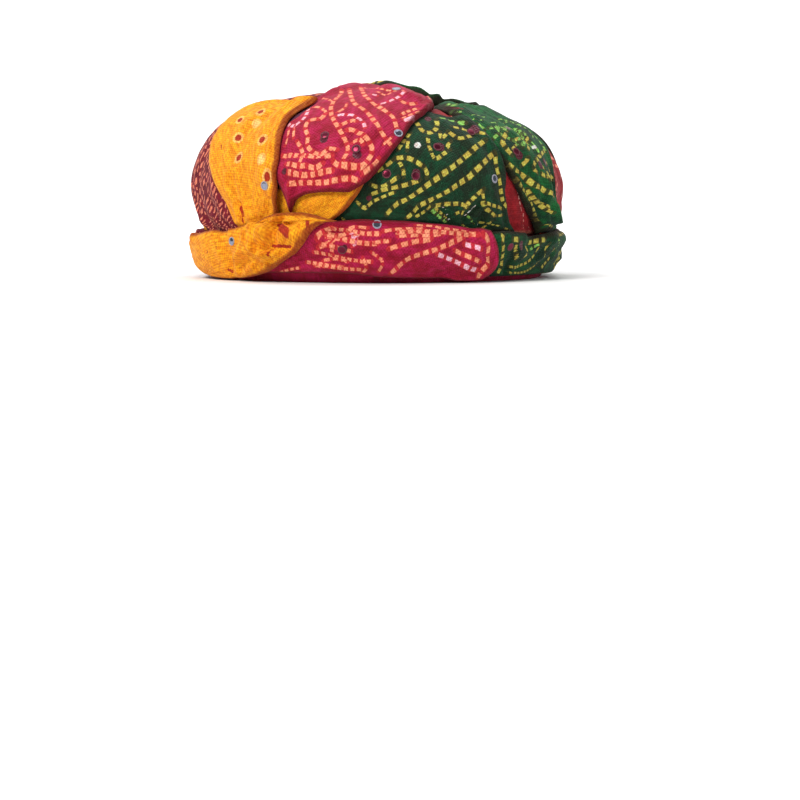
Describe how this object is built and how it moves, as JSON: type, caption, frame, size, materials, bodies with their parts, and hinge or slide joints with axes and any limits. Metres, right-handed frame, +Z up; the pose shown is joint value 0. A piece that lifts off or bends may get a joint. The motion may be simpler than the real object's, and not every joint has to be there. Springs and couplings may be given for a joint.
{
  "type": "tied turban",
  "caption": "Ready-tied turban: overlapping folds of printed cotton over a domed cap, wraps round a padded band, small round mirrors sewn on.",
  "frame": {"origin": "middle of the whole pagri's outline in plan, on the surface that its rim rests on", "axes": "+Z up through the crest, +Y to the wearer's back, +X to the wearer's left"},
  "size_m": [0.1904, 0.2328, 0.099],
  "materials": {
    "magenta_cloth": "printed cotton, tie-dye dashes",
    "yellow_cloth": "printed cotton, mottled, small dots",
    "green_cloth": "printed cotton, rows of dashes",
    "red_cloth": "printed cotton",
    "maroon_cloth": "printed cotton, pale dashes",
    "lining_cloth": "plain cotton",
    "sewn_mirror": "polished, small and round"
  },
  "bodies": {
    "root": {"cap_top": "lining_cloth", "cap_side": "lining_cloth", "band_roll": "magenta_cloth", "fold_red_inner": "red_cloth", "fold_red_side": "red_cloth", "fold_green_side": "green_cloth", "fold_green_front": "green_cloth", "fold_yellow_tie": "yellow_cloth", "fold_magenta_back": "magenta_cloth", "fold_yellow_side": "yellow_cloth", "fold_maroon_side": "maroon_cloth", "fold_magenta_front": "magenta_cloth", "fold_yellow_front": "yellow_cloth", "fold_yellow_back": "yellow_cloth", "fold_green_crown": "green_cloth", "wrap_maroon_back": "maroon_cloth", "wrap_green_back": "green_cloth", "wrap_yellow_back": "yellow_cloth", "wrap_maroon_left": "maroon_cloth", "wrap_green_right": "green_cloth", "wrap_magenta_front": "magenta_cloth", "wrap_yellow_front": "yellow_cloth", "mirror_01": "sewn_mirror", "mirror_02": "sewn_mirror", "mirror_03": "sewn_mirror", "mirror_04": "sewn_mirror", "mirror_05": "sewn_mirror", "mirror_06": "sewn_mirror", "mirror_07": "sewn_mirror", "mirror_08": "sewn_mirror", "mirror_09": "sewn_mirror", "mirror_10": "sewn_mirror", "mirror_11": "sewn_mirror", "mirror_12": "sewn_mirror", "mirror_13": "sewn_mirror", "mirror_14": "sewn_mirror", "mirror_15": "sewn_mirror", "mirror_16": "sewn_mirror", "mirror_17": "sewn_mirror", "mirror_18": "sewn_mirror", "mirror_19": "sewn_mirror", "mirror_20": "sewn_mirror", "mirror_21": "sewn_mirror", "mirror_22": "sewn_mirror"}
  },
  "joints": []
}
